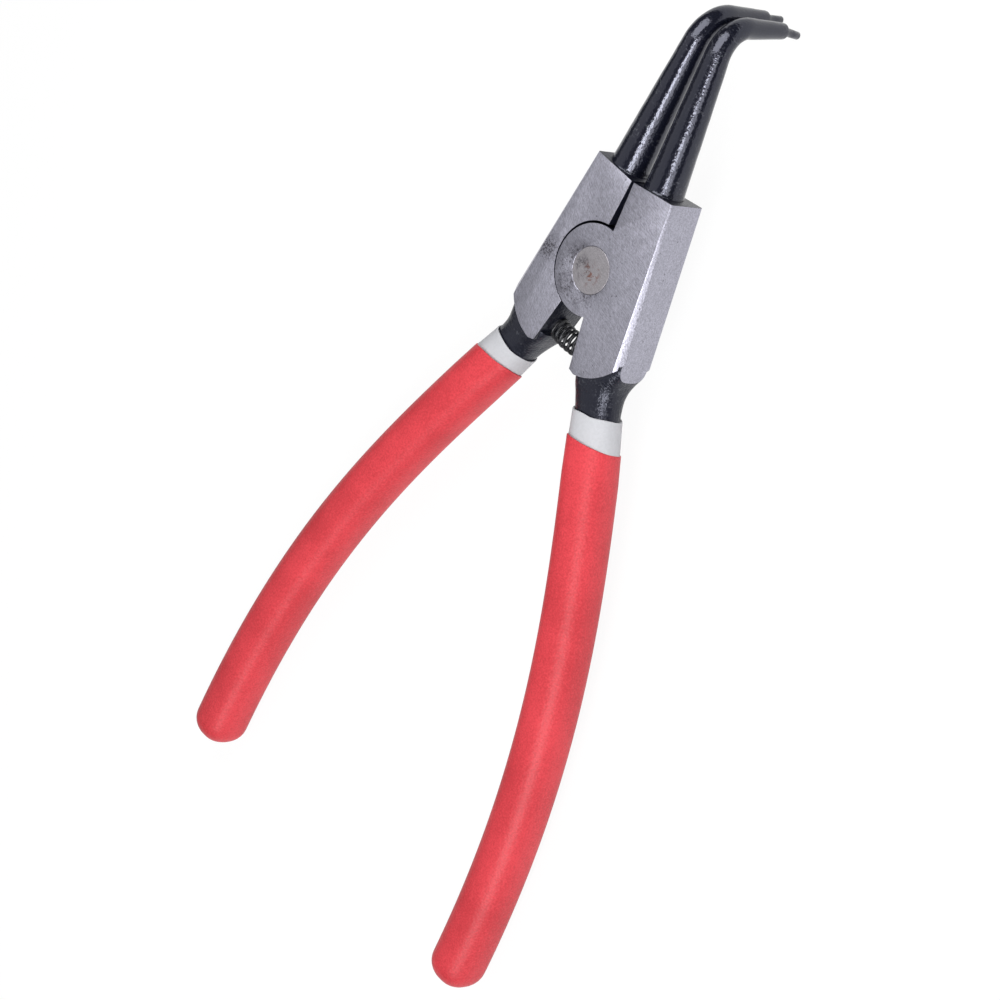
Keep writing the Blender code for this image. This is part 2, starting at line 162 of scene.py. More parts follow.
class NoseSizes(bpy.types.PropertyGroup):
    spread: length("Base spread", "Half the distance between the noses at the shoulder", 4.35)
    lean: length("Base lean", "Shift of both noses at the shoulder", -0.6)
    tip_spread: length("Tip spread", "Half the distance between the noses at the bend", 2.3)
    tip_lean: length("Tip lean", "Shift of both noses at the bend", -1.4)
    reach: length("Reach", "Pivot to the centre line of the bent tips", 47.0)
    drop: length("Drop", "Mid-plane to the tips' shoulders", 14.4)
    bend_radius: length("Bend radius", "Radius of the bend's centre line", 5.5)
    bend_angle: turn("Bend angle", "Turn of the bend", 86)
    base_radius: length("Base radius", "Nose radius at the shoulder", 3.5)
    bend_end_radius: length("Bend radius of the nose", "Nose radius where the bend starts", 2.2)
    end_radius: length("End radius", "Nose radius at the tip's shoulder", 1.4)
    collar_flare: length("Collar flare", "How far the fillet at the base stands out", 0.1)
    collar_height: length("Collar height", "Height of the fillet at the base", 0.5)
    buried: length("Root", "Length of nose inside the joint block", 2.0)
    pin_radius: length("Pin radius", "Pin radius at its shoulder", 0.78)
    pin_end_radius: length("Pin end radius", "Pin radius at its end", 0.68)
    pin_length: length("Pin length", "Shoulder to the pin's end", 4.1)
    pin_angle: turn("Pin angle", "Turn from the nose to the pin", 95)
    edge_break: length("Edge break", "Rounding of the pin's end", 0.12)
    unevenness: length("Unevenness", "Height of the forged surface's waves", 0.035)


class HandleSizes(bpy.types.PropertyGroup):
    root_x: length("Arm root", "Centre line to the arm's root", 7.9)
    root_depth: length("Arm root depth", "Pivot to the arm's root", 13.2)
    splay: turn("Splay", "Angle of the arm at its root", 23)
    lead: length("Lead", "Pull of the curve at the root", 34.5)
    tail: length("Tail", "Pull of the curve at the end", 52.5)
    half_spread: length("Half spread", "Centre line to the handle's end", 36.7)
    depth: length("Depth", "Pivot to the handle's end", 124.2)
    neck_half_width: length("Neck half width", "Half width of the bare neck", 4.15)
    neck_half_height: length("Neck half height", "Half thickness of the bare neck", 3.35)
    neck_end: length("Neck end", "Root to the end of the neck's flare", 7.8)
    neck_step: length("Neck step", "How far the neck's root stands below the ground faces", 0.2)
    root_flare: length("Root flare", "Outward flare of the neck at its root", 3.9)
    root_narrowing: length("Root narrowing", "Inward narrowing of the neck at its root", 1.0)
    white_mouth: length("White mouth", "Root to the edge of the white dip", 9.2)
    white_half_width: length("White half width", "Half width of the white dip at its edge", 4.45)
    white_half_height: length("White half height", "Half thickness of the white dip at its edge", 3.8)
    red_mouth: length("Red mouth", "Root to the edge of the red dip", 14.8)
    red_mouth_half_width: length("Red mouth half width", "Half width of the red dip at its edge", 4.78)
    red_mouth_half_height: length("Red mouth half height", "Half thickness of the red dip's edge", 4.4)
    grip_taper_end: length("Grip taper end", "Root to the grip's even section", 20.0)
    grip_half_width: length("Grip half width", "Half width of the grip", 4.7)
    grip_half_height: length("Grip half height", "Half thickness of the grip", 4.85)
    end_round: length("End round", "Rounding of the grip's end", 4.2)
    lip: length("Lip", "Rounding of the dips' edges", 0.16)
    waver: length("Waver", "How far the dips' edges wander", 0.28)
    section_power: number("Section", "Squareness of the section", 2.3)


class SpringSizes(bpy.types.PropertyGroup):
    radius: length("Coil radius", "Outer radius of the coil", 2.08)
    wire_radius: length("Wire radius", "Radius of the wire", 0.26)
    turns: IntProperty(name="Turns", description="Turns between the two seats", default=10)
    depth: length("Depth", "Pivot to the spring's seats", 13.5)
    pocket_depth: length("Pocket depth", "Depth of the seats in the throat's walls", 1.3)
    seat_gap: length("Seat gap", "Gap under the last turn", 0.3)
    closed_share: number("Closed share", "Share of the length in dead end turns", 0.06)
    keep: number("Closed length", "Share of its length when the tips are open", 0.54)


class FinishColours(bpy.types.PropertyGroup):
    steel: colour("Ground steel", "Reflection of the ground faces", (0.432, 0.427, 0.5))
    steel_stain: colour("Stain", "Dark stains on the ground faces", (0.10, 0.095, 0.11))
    rivet: colour("Rivet", "Reflection of the rivet's face", (0.405, 0.385, 0.41))
    rust: colour("Rust", "Brown stains on the rivet's face", (0.2, 0.075, 0.045))
    oxide: colour("Black oxide", "Noses and necks", (0.004, 0.0045, 0.009))
    oxide_worn: colour("Worn oxide", "Rubbed high spots", (0.075, 0.078, 0.088))
    white: colour("White dip", "First dip", (0.405, 0.408, 0.43))
    red: colour("Red dip", "Second dip", (0.545, 0.041, 0.053))
    red_deep: colour("Deep red", "Thin and shaded places of the second dip", (0.4, 0.025, 0.033))
    spring: colour("Spring", "Blackened wire", (0.013, 0.013, 0.016))


class StageSettings(bpy.types.PropertyGroup):
    camera_at: FloatVectorProperty(
        name="Camera", description="Camera position", default=(0.2933, 0.1490, 0.3853), subtype="TRANSLATION"
    )
    right_axis: FloatVectorProperty(
        name="Right", description="Direction to the picture's right", default=(0.6245, 0.4011, -0.6701)
    )
    up_axis: FloatVectorProperty(
        name="Up", description="Direction to the picture's top", default=(-0.5465, 0.8374, -0.0081)
    )
    lens: FloatProperty(name="Lens", description="Focal length", default=108.0, unit="CAMERA")
    world_light: number("World light", "Strength of the surrounding light", 0.1)
    face_light: number("Face light", "Panel that the front faces mirror", 0.6)
    strip_light: number("Strip light", "Strip that the noses mirror", 15.0)
    side_light: number("Side light", "Panel that the chamfers mirror", 3.4)
    top_light: number("Top light", "Panel beyond the noses", 4.4)
    floor: colour("Floor", "Floor colour", (0.93, 0.93, 0.93))
    floor_glow: number("Floor glow", "Share of plain white that the camera sees", 0.93)


GROUPS = {
    "pliers_joint": JointSizes,
    "pliers_nose": NoseSizes,
    "pliers_handle": HandleSizes,
    "pliers_spring": SpringSizes,
    "pliers_finish": FinishColours,
    "pliers_stage": StageSettings,
}


# Shader maths

# Where a Mix node has its first colour and its mixed colour
COLOUR_INPUT, COLOUR_OUTPUT = 6, 2


class Value:
    """A shader socket that Python's operators work on. Each operation adds one Math node."""

    def __init__(self, maker, socket):
        self.maker = maker
        self.socket = socket

    def math(self, operation, *others):
        return self.maker.node("ShaderNodeMath", {"operation": operation}, self, *others)

    def __add__(self, other):
        return self.math("ADD", other)

    def __sub__(self, other):
        return self.math("SUBTRACT", other)

    def __rsub__(self, other):
        return self.maker.node("ShaderNodeMath", {"operation": "SUBTRACT"}, other, self)

    def __mul__(self, other):
        return self.math("MULTIPLY", other)

    __radd__ = __add__
    __rmul__ = __mul__

    def clamped(self):
        return self.maker.node("ShaderNodeClamp", {}, self)

    def step(self, start, end):
        """0 up to start and 1 from end, with a smooth rise between."""
        settings = {"interpolation_type": "SMOOTHSTEP"}
        return self.maker.node("ShaderNodeMapRange", settings, self, start, end, 0.0, 1.0)


class NodeMaker:
    """Adds nodes to one tree."""

    def __init__(self, tree):
        self.tree = tree

    def node(self, kind, settings, *values, output=0, **named):
        """A node of this kind: settings first, then its sockets' values or links in order or by name."""
        made = self.tree.nodes.new(kind)
        for key, setting in settings.items():
            setattr(made, key, setting)
        for key, value in [*enumerate(values), *named.items()]:
            self.feed(made.inputs[key], value)
        return Value(self, made.outputs[output])

    def feed(self, socket, value):
        if isinstance(value, Value):
            self.tree.links.new(value.socket, socket)
        elif value is not None:
            socket.default_value = value


class Finish(NodeMaker):
    """A procedural material under construction, on the Object coordinates of its piece."""

    def __init__(self, name):
        self.material = bpy.data.materials.new(name)
        self.material.use_nodes = True
        super().__init__(self.material.node_tree)
        self.shader = self.tree.nodes["Principled BSDF"]
        self.place = self.node("ShaderNodeTexCoord", {}, output="Object")

    def set(self, **values):
        """Feeds the shader's sockets, whose names are written with underscores."""
        for key, value in values.items():
            self.feed(self.shader.inputs[key.replace("_", " ")], value)
        return self.material

    def mapped(self, scale, turn_z):
        """The place turned about Z and then stretched, so that a grain follows the turned axes."""
        turned_place = self.node("ShaderNodeMapping", {}, self.place, Rotation=(0.0, 0.0, turn_z))
        return self.node("ShaderNodeMapping", {}, turned_place, Scale=scale)

    def noise(self, where, scale, detail=3.0, roughness=0.55, distortion=0.0):
        sizes = {"Scale": scale, "Detail": detail, "Roughness": roughness, "Distortion": distortion}
        return self.node("ShaderNodeTexNoise", {}, Vector=where, **sizes)

    def specks(self, where, scale):
        """Distance to the nearest of a scatter of points."""
        return self.node("ShaderNodeTexVoronoi", {}, Vector=where, Scale=scale)

    def mix(self, share, first, second):
        """Two colours, or a colour and a link, mixed by a share."""
        pair = [tone if isinstance(tone, Value) else (*tone, 1.0) for tone in (first, second)]
        values = [share, *[None] * (COLOUR_INPUT - 1), *pair]
        return self.node("ShaderNodeMix", {"data_type": "RGBA"}, *values, output=COLOUR_OUTPUT)

    def near(self, point, inside, outside):
        """1 within the inner distance of a point and 0 beyond the outer one."""
        settings = {"operation": "DISTANCE"}
        distance = self.node("ShaderNodeVectorMath", settings, self.place, point, output="Value")
        return 1 - distance.step(inside, outside)

    def bump(self, height, distance, strength=1.0):
        return self.node("ShaderNodeBump", {}, Height=height, Distance=distance, Strength=strength)


def ground_steel(name, finishes, grain_turn):
    """Surface-ground steel: short crossed scratches, speckle, pits, and stains by the rivet and the edge."""
    finish = Finish(name)
    lay = finish.noise(finish.mapped((1.0, 9.0, 9.0), grain_turn), 650.0, 3.0, 0.7)
    cross = finish.noise(finish.mapped((1.0, 9.0, 9.0), grain_turn + CROSS_GRAIN), 600.0, 3.0, 0.7)
    speckle = finish.noise(finish.place, 3400.0, 2.0, 0.7)
    cloud = finish.noise(finish.place, 260.0, 4.0, 0.6)
    scratch = (lay * 0.46 + cross * 0.3 + speckle * 0.24).step(0.4, 0.6)
    dots = finish.specks(finish.place, 900.0)
    pits = (1 - dots.step(0.1, 0.2)) * finish.noise(finish.place, 420.0).step(0.54, 0.6)
    by_rivet = finish.near(RIVET_STAIN, 4.0 * MM, 7.0 * MM)
    by_edge = finish.near(EDGE_STAIN, 0.2 * MM, 4.2 * MM)
    fine = finish.noise(finish.place, 2400.0, 3.0, 0.75)
    grit = (fine + (by_rivet * 0.06 + by_edge * 0.13)).step(0.58, 0.66) * (by_rivet * 0.8 + by_edge)
    smear = by_rivet * cloud.step(0.4, 0.6) * 0.6 + by_edge * 0.2
    stain = (grit * 0.8 + smear).clamped()
    tone = finish.mix(scratch, scaled(finishes.steel, 0.72), scaled(finishes.steel, 1.25))
    tone = finish.mix(cloud.step(0.35, 0.7) * 0.18, tone, scaled(finishes.steel, 0.72))
    tone = finish.mix((stain + pits * 0.6).clamped(), tone, tuple(finishes.steel_stain))
    relief = lay * 0.4 + cross * 0.3 + speckle * 0.6 - pits * 0.8
    return finish.set(
        Base_Color=tone,
        Metallic=1.0,
        Roughness=(scratch * 0.12 + stain * 0.15 + 0.32).clamped(),
        Normal=finish.bump(relief, 0.02 * MM, 0.8),
    )


def rivet_steel(finishes):
    """The rivet's face, ground with the levers, a little warmer and with brown staining in soft patches."""
    finish = Finish("rivet_steel")
    lay = finish.noise(finish.mapped((1.0, 8.0, 8.0), math.radians(20)), 900.0, 3.0, 0.65)
    speckle = finish.noise(finish.place, 3800.0, 2.0, 0.7)
    cloud = finish.noise(finish.place, 760.0, 5.0, 0.75, 0.5)
    rust = cloud.step(0.5, 0.58) * finish.near((0.3 * MM, -0.6 * MM, 0.0), 0.6 * MM, 3.0 * MM)
    grime = (speckle * 0.45 + cloud * 0.55).step(0.46, 0.58) * finish.near(RIVET_GRIME, 0.6 * MM, 3.4 * MM)
    scratch = (lay * 0.5 + speckle * 0.5).step(0.35, 0.65)
    face = finish.mix(scratch, scaled(finishes.rivet, 0.8), scaled(finishes.rivet, 1.25))
    face = finish.mix(grime * 0.85, face, tuple(finishes.steel_stain))
    return finish.set(
        Base_Color=finish.mix(rust * 0.75, face, tuple(finishes.rust)),
        Metallic=1.0,
        Roughness=(lay * 0.14 + rust * 0.25 + 0.3).clamped(),
        Normal=finish.bump(lay * 0.5 + speckle * 0.5 + cloud * 0.4, 0.02 * MM, 0.8),
    )


def black_oxide(name, finishes, dull=0.0):
    """Oxidised forging: blue-black, with fine pimples that break its highlights. Dull parts scatter more."""
    finish = Finish(name)
    pimples = finish.noise(finish.place, 2300.0, 1.0, 0.5)
    coarse = finish.noise(finish.place, 900.0, 2.0, 0.6)
    waves = finish.noise(finish.place, 160.0, 2.0)
    worn = (pimples * 0.6 + coarse * 0.5).step(0.6, 0.7) * waves.step(0.4, 0.65)
    return finish.set(
        Base_Color=finish.mix(worn * 0.4, tuple(finishes.oxide), tuple(finishes.oxide_worn)),
        Roughness=(coarse * 0.12 + pimples * dull * 0.2 + (0.1 + dull * 0.08)).clamped(),
        Specular_IOR_Level=0.72 - 0.22 * dull,
        Specular_Tint=(0.82, 0.84, 1.0, 1.0),
        Normal=finish.bump(pimples * 0.9 + coarse * 0.3, (0.05 + 0.07 * dull) * MM, 1.0),
    )


def dipped_skin(name, light, deep, finish_roughness, grain, depth):
    """A dipped plastic skin with the fine orange peel of its coat."""
    finish = Finish(name)
    peel = finish.noise(finish.place, grain, 2.5, 0.6)
    cells = finish.specks(finish.place, grain * 0.6)
    cloud = finish.noise(finish.place, 90.0, 3.0)
    tone = (peel * 0.6 + cloud * 0.4).step(0.36, 0.64)
    return finish.set(
        Base_Color=finish.mix(tone, tuple(deep), tuple(light)),
        Roughness=(peel * 0.14 + finish_roughness).clamped(),
        Specular_IOR_Level=0.3,
        Normal=finish.bump(peel * 0.6 + cells * 0.6, depth, 0.7),
    )


def spring_wire(finishes):
    finish = Finish("blackened_spring_wire")
    mottle = finish.noise(finish.place, 1400.0, 2.0)
    rubbed = mottle.step(0.45, 0.75) * 0.5
    return finish.set(
        Base_Color=finish.mix(rubbed, tuple(finishes.spring), tuple(finishes.oxide_worn)),
        Metallic=0.35,
        Roughness=(mottle * 0.2 + 0.24).clamped(),
        Normal=finish.bump(mottle, 0.01 * MM, 0.6),
    )


def scaled(tone, share):
    return [min(1.0, part * share) for part in tone]


def material(name, build):
    """The material of this name, built at its first use."""
    return bpy.data.materials.get(name) or build()


# Meshes


def axes(across, up, ahead, at):
    """A place whose X, Y and Z run along these directions."""
    place = Matrix((across, up, ahead)).transposed().to_4x4()
    place.translation = at
    return place


def facing(ahead, at):
    """A place whose Z runs along a direction."""
    place = ahead.to_track_quat("Z", "X").to_matrix().to_4x4()
    place.translation = at
    return place


def put(name, data):
    """A new object of this data in the scene."""
    made = bpy.data.objects.new(name, data)
    bpy.context.scene.collection.objects.link(made)
    return made


def section_ring(bm, place, inner, outer, half_height, segments, power=2.0):
    """A closed ring in the place's XY plane. Its rounded outline reaches inner at -X and outer at +X."""
    ring = bmesh.ops.create_circle(bm, cap_ends=False, segments=segments, radius=1.0)["verts"]
    edges = {edge for vert in ring for edge in vert.link_edges}
    for vert in ring:
        reach = outer if vert.co.x > 0 else inner
        across = math.copysign(abs(vert.co.x) ** (2 / power), vert.co.x) * reach
        along = math.copysign(abs(vert.co.y) ** (2 / power), vert.co.y) * half_height
        vert.co = place @ Vector((across, along, 0))
    return list(edges)


def loft(bm, rings, closed=True):
    for first, second in zip(rings, rings[1:]):
        bmesh.ops.bridge_loops(bm, edges=first + second)
    if closed:
        close_ring(bm, rings[0])
        close_ring(bm, rings[-1])


def close_ring(bm, ring):
    bmesh.ops.contextual_create(bm, geom=ring)


def ring_verts(ring):
    return list({vert for edge in ring for vert in edge.verts})


def turned(profile, segments):
    """A bmesh turned about Z from (radius, height) points that start and end on the axis."""
    bm = bmesh.new()
    points = [bm.verts.new((radius, 0, height)) for radius, height in profile]
    line = [bm.edges.new(pair) for pair in zip(points, points[1:])]
    bmesh.ops.spin(bm, geom=points + line, axis=(0, 0, 1), angle=math.tau, steps=segments, use_merge=True)
    bmesh.ops.remove_doubles(bm, verts=bm.verts, dist=0.0005 * MM)
    return bm


def extrude_rim(bm, edges, rise):
    """Walls raised from a rim by a rise along Z. Returns the new rim's edges."""
    raised = bmesh.ops.extrude_edge_only(bm, edges=edges)["geom"]
    verts = [item for item in raised if isinstance(item, bmesh.types.BMVert)]
    bmesh.ops.translate(bm, vec=(0, 0, rise), verts=verts)
    top = set(verts)
    return [item for item in raised if isinstance(item, bmesh.types.BMEdge) and set(item.verts) <= top]


def cut_flat(bm, point, normal):
    """Cuts off what lies beyond a plane and closes the cut. Returns the new face."""
    geometry_in = list(bm.verts) + list(bm.edges) + list(bm.faces)
    cut = bmesh.ops.bisect_plane(bm, geom=geometry_in, plane_co=point, plane_no=normal, clear_outer=True)
    rim = [item for item in cut["geom_cut"] if isinstance(item, bmesh.types.BMEdge)]
    return bmesh.ops.contextual_create(bm, geom=rim)["faces"]


def make_piece(name, bm, side, materials, node=None, smooth_up_to=40):
    """The closed bmesh as a finished piece in the part's frame, riding on its side's body."""
    bmesh.ops.translate(bm, vec=(0, 0, MID_Z), verts=bm.verts)
    bmesh.ops.recalc_face_normals(bm, faces=bm.faces)
    mesh = bpy.data.meshes.new(name)
    bm.to_mesh(mesh)
    bm.free()
    mesh.shade_smooth()
    mesh.set_sharp_from_angle(angle=math.radians(smooth_up_to))
    piece = put(name, mesh)
    for item in materials:
        mesh.materials.append(item)
    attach(piece, f"{SIDE_NAMES[side]}_side")
    if node:
        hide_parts(node)
    return piece


# Joint block


class JointPlan:
    """Plan lines of one ground joint block, on the right side; the left one is its mirror image."""

    def __init__(self, sizes, side=RIGHT):
        self.sizes = sizes
        self.hip = Vector((sizes.hip_half_width - HIP_TRIM[side], -sizes.hip_depth, 0))
        self.recess = sizes.lobe_radius + sizes.lobe_clearance

    def slot_x(self, y):
        share = (self.sizes.shoulder_height - y) / (self.sizes.shoulder_height - self.sizes.lobe_radius)
        return self.sizes.slot_top + (self.sizes.slot_root - self.sizes.slot_top) * share

    def throat_x(self, y):
        share = (-y - self.sizes.lobe_radius) / (self.sizes.throat_depth - self.sizes.lobe_radius)
        return self.sizes.throat_top + (self.sizes.throat_bottom - self.sizes.throat_top) * share

    def meeting(self, wall_x, radius, up, shift):
        """Where a wall of the slot or the throat meets a circle whose centre is shifted along Y."""
        y = up * radius
        for _ in range(12):
            y = shift + up * math.sqrt(radius**2 - wall_x(y) ** 2)
        return Vector((wall_x(y), y, 0))

    def arc(self, radius, shift, backwards):
        """Points from the throat's wall to the slot's, through the block or, backwards, round the lobe."""
        start = self.meeting(self.throat_x, radius, -1, shift)
        end = self.meeting(self.slot_x, radius, 1, shift)
        first, last = math.atan2(start.y - shift, start.x), math.atan2(end.y - shift, end.x)
        if backwards:
            last -= math.tau
        steps = round(abs(last - first) / math.radians(5))
        turns = [first + (last - first) * step / steps for step in range(1, steps)]
        middle = [Vector((radius * math.cos(a), shift + radius * math.sin(a), 0)) for a in turns]
        return [start, *middle, end]

    def outer_chain(self):
        """From the slot's wall over the shoulder and down the outside to the throat's wall."""
        s = self.sizes
        hip = self.hip
        heel = Vector((s.throat_bottom + s.heel_width, -s.throat_depth - s.heel_drop, 0))
        pull = Vector((s.hip_pull_width, -s.hip_pull_depth, 0))
        shares = [step / 16 for step in range(17)]
        hip_curve = [hip.lerp(pull, t).lerp(pull.lerp(heel, t), t) for t in shares]
        return [
            Vector((s.slot_top, s.shoulder_height, 0)),
            Vector((s.shoulder_half_width, s.shoulder_height + s.shoulder_rise, 0)),
            *hip_curve,
            Vector((s.throat_bottom, -s.throat_depth, 0)),
        ]

    def flank(self):
        """A point on the outer side and its outward normal."""
        s = self.sizes
        top = Vector((s.shoulder_half_width, s.shoulder_height + s.shoulder_rise, 0))
        along = (top - self.hip).normalized()
        return top, Vector((along.y, -along.x, 0))


def closed_line(bm, points):
    verts = [bm.verts.new(point) for point in points]
    return [bm.edges.new((verts[i - 1], verts[i])) for i in range(len(verts))]


def bore_rings(bm, sizes, face_z, floor_z):
    """The rivet's countersunk bore from the outer face to the lap. Returns the rims at both ends."""
    inwards = math.copysign(sizes.countersink, floor_z - face_z)
    head = RIVET_BOX[1].x + sizes.rivet_clearance
    shank = sizes.shank_radius + sizes.rivet_clearance
    levels = [(head, face_z), (shank, face_z + inwards), (shank, floor_z)]
    rings = [
        section_ring(bm, Matrix.Translation((0, 0, z)), radius, radius, radius, BORE_SEGMENTS)
        for radius, z in levels
    ]
    loft(bm, rings, closed=False)
    return rings[0], rings[-1]


def joint_block(sizes, side):
    """A ground block with its lobe at one half of the thickness and the other lever's space at the other."""
    plan = JointPlan(sizes, side)
    lap = side * sizes.lap_gap / 2
    face, back = side * THICKNESS / 2, -side * THICKNESS / 2
    bm = bmesh.new()
    recess = plan.arc(plan.recess, sizes.lobe_shift, backwards=False)
    lobe = plan.arc(sizes.lobe_radius, 0.0, backwards=True)
    base = closed_line(bm, [point + Vector((0, 0, back)) for point in plan.outer_chain() + recess])
    close_ring(bm, base)
    rim = extrude_rim(bm, base, lap - back)

    def on_recess(vert):
        return abs((vert.co.to_2d() - Vector((0, sizes.lobe_shift))).length - plan.recess) < 0.01 * MM

    ledge = [edge for edge in rim if all(on_recess(vert) for vert in edge.verts)]
    ends = {vert for edge in ledge for vert in edge.verts}
    corners = [min(ends, key=lambda v: (v.co.to_2d() - recess[i].to_2d()).length) for i in (0, -1)]
    path = [corners[0], *[bm.verts.new(point + Vector((0, 0, lap))) for point in lobe], corners[1]]
    lobe_rim = [bm.edges.new(pair) for pair in zip(path, path[1:])]
    face_rim, lap_rim = bore_rings(bm, sizes, face, lap)
    outline = [edge for edge in rim if edge not in ledge] + lobe_rim
    top = extrude_rim(bm, outline, face - lap)
    bmesh.ops.triangle_fill(bm, use_beauty=True, edges=ledge + lobe_rim + lap_rim, normal=(0, 0, -side))
    bmesh.ops.triangle_fill(bm, use_beauty=True, edges=top + face_rim, normal=(0, 0, side))
    bmesh.ops.dissolve_limit(
        bm, angle_limit=math.radians(0.5), verts=bm.verts, edges=bm.edges, use_dissolve_boundaries=False
    )
    chamfer_long_edges(bm, sizes, plan.hip)
    if side == LEFT:
        bmesh.ops.scale(bm, vec=(-1, 1, 1), verts=bm.verts)
    bmesh.ops.recalc_face_normals(bm, faces=bm.faces)
    mark_ground_faces(bm, sizes, side)

    def runs_on(edge):
        """Whether this is the flank's lower end, which the neck carries on."""
        first, second = (vert.co for vert in edge.verts)
        low_outside = first.y < -sizes.lobe_radius and abs(first.x) > 0.9 * sizes.hip_half_width
        return abs(first.z - second.z) > 1 * MM and low_outside

    def is_rounded(edge):
        sharp = edge.is_manifold and edge.calc_face_angle() > math.radians(35)
        return sharp and not runs_on(edge) and edge.calc_length() > 2 * sizes.edge_round

    rounded = [edge for edge in bm.edges if is_rounded(edge)]
    bmesh.ops.bevel(
        bm, geom=rounded, offset=sizes.edge_round, offset_type="OFFSET", affect="EDGES",
        segments=2, profile=0.5, material=-1, clamp_overlap=True,
    )
    return bm


def chamfer_long_edges(bm, sizes, hip):
    """Flats on both long outer edges that widen from the shoulder to the hip."""
    shoulder = Vector((sizes.shoulder_half_width, sizes.shoulder_height + sizes.shoulder_rise, THICKNESS / 2))
    on_face = shoulder - Vector((sizes.chamfer_top, 0, 0))
    on_flank = shoulder - Vector((0, 0, sizes.chamfer_top))
    for face, width in ((1, sizes.chamfer_bottom), (-1, sizes.back_chamfer)):
        at_hip = Vector((hip.x - width, hip.y, THICKNESS / 2))
        normal = (on_flank - on_face).cross(at_hip - on_face)
        if normal.x < 0:
            normal.negate()
        mirror = Matrix.Diagonal((1, 1, face))
        cut_flat(bm, mirror @ on_face, mirror @ normal)


GROUND, OXIDE = 0, 1


def mark_ground_faces(bm, sizes, side):
    """Front, back, flank and chamfers are ground. The rest keeps its oxide."""
    for face in bm.faces:
        normal, middle = face.normal, face.calc_center_median()
        outwards = normal.x * side > 0.5 and abs(middle.x) > sizes.lobe_radius
        outer = abs(normal.z) > 0.5 and abs(middle.z) > THICKNESS / 3
        face.material_index = GROUND if outer or outwards else OXIDE


# Noses


def nose_sections(sizes, joint, side):
    """A nose as (centre, direction, radius), from its root in the block to the end of its pin."""
    corner = Vector((side * sizes.tip_spread + sizes.tip_lean, sizes.reach, 0))
    base = Vector((side * sizes.spread + sizes.lean, joint.shoulder_height + joint.shoulder_rise / 2, 0))
    ahead = (corner - base).normalized()
    down = Vector((0, 0, -1))
    bend_start = corner - sizes.bend_radius * ahead
    run = (bend_start - base).length

    def heading(angle):
        return math.cos(angle) * ahead + math.sin(angle) * down

    sections = [(base - sizes.buried * ahead, ahead, sizes.base_radius + sizes.collar_flare)]
    for step in range(9):
        share = step / 8
        flare = sizes.collar_flare * (1 - math.sin(share * math.pi / 2))
        sections.append((base + share * sizes.collar_height * ahead, ahead, sizes.base_radius + flare))
    for step in range(1, 37):
        travelled = sizes.collar_height + (run - sizes.collar_height) * step / 36
        radius = sizes.base_radius + (sizes.bend_end_radius - sizes.base_radius) * travelled / run
        sections.append((base + travelled * ahead, ahead, radius))
    bend_drop = sizes.bend_radius * (1 - math.cos(sizes.bend_angle))
    drop = (sizes.drop - bend_drop) / math.sin(sizes.bend_angle)
    whole = sizes.bend_radius * sizes.bend_angle + drop
    narrowing = sizes.end_radius - sizes.bend_end_radius
    for step in range(1, 25):
        angle = sizes.bend_angle * step / 24
        centre = bend_start + sizes.bend_radius * (math.sin(angle) * ahead + (1 - math.cos(angle)) * down)
        radius = sizes.bend_end_radius + narrowing * sizes.bend_radius * angle / whole
        sections.append((centre, heading(angle), radius))
    falling = heading(sizes.bend_angle)
    shoulder = sections[-1][0] + drop * falling
    start = sections[-1]
    fillet = 0.4 * MM
    for step in range(1, 9):
        share = step / 8
        centre = start[0].lerp(shoulder - fillet * falling, share)
        sections.append((centre, falling, start[2] + (sizes.end_radius - start[2]) * share))
    for step in range(1, 5):
        angle = math.pi / 2 * step / 4
        centre = shoulder - fillet * (1 - math.sin(angle)) * falling
        sections.append((centre, falling, sizes.end_radius - fillet * (1 - math.cos(angle))))
    along_pin = heading(sizes.pin_angle - PIN_LIFT[side])
    root = sizes.pin_radius + 0.06 * MM
    ends = [
        (0.03 * MM, root),
        (0.15 * MM, sizes.pin_radius),
        (sizes.pin_length / 2, (sizes.pin_radius + sizes.pin_end_radius) / 2),
        (sizes.pin_length - sizes.edge_break, sizes.pin_end_radius),
        (sizes.pin_length - 0.3 * sizes.edge_break, sizes.pin_end_radius - 0.3 * sizes.edge_break),
        (sizes.pin_length, sizes.pin_end_radius - sizes.edge_break),
    ]
    return sections + [(shoulder + reach * along_pin, along_pin, radius) for reach, radius in ends]


def roughen(bm, centres, amount, pitch, seed):
    """Moves each ring's points in or out by smooth noise, as a hammer-forged surface has."""
    for ring, centre in centres:
        for vert in ring_verts(ring):
            outwards = (vert.co - centre).normalized()
            vert.co += outwards * amount * noise.noise(vert.co / pitch + Vector((seed, 0, 0)))


def nose(sizes, joint, side):
    bm = bmesh.new()
    centres = []
    for centre, heading, radius in nose_sections(sizes, joint, side):
        place = facing(heading, centre)
        centres.append((section_ring(bm, place, radius, radius, radius, NOSE_SEGMENTS), centre))
    rings = [ring for ring, _ in centres]
    loft(bm, rings)
    roughen(bm, centres[:-6], sizes.unevenness, 2.2 * MM, side)
    return bm


# Arms and dips


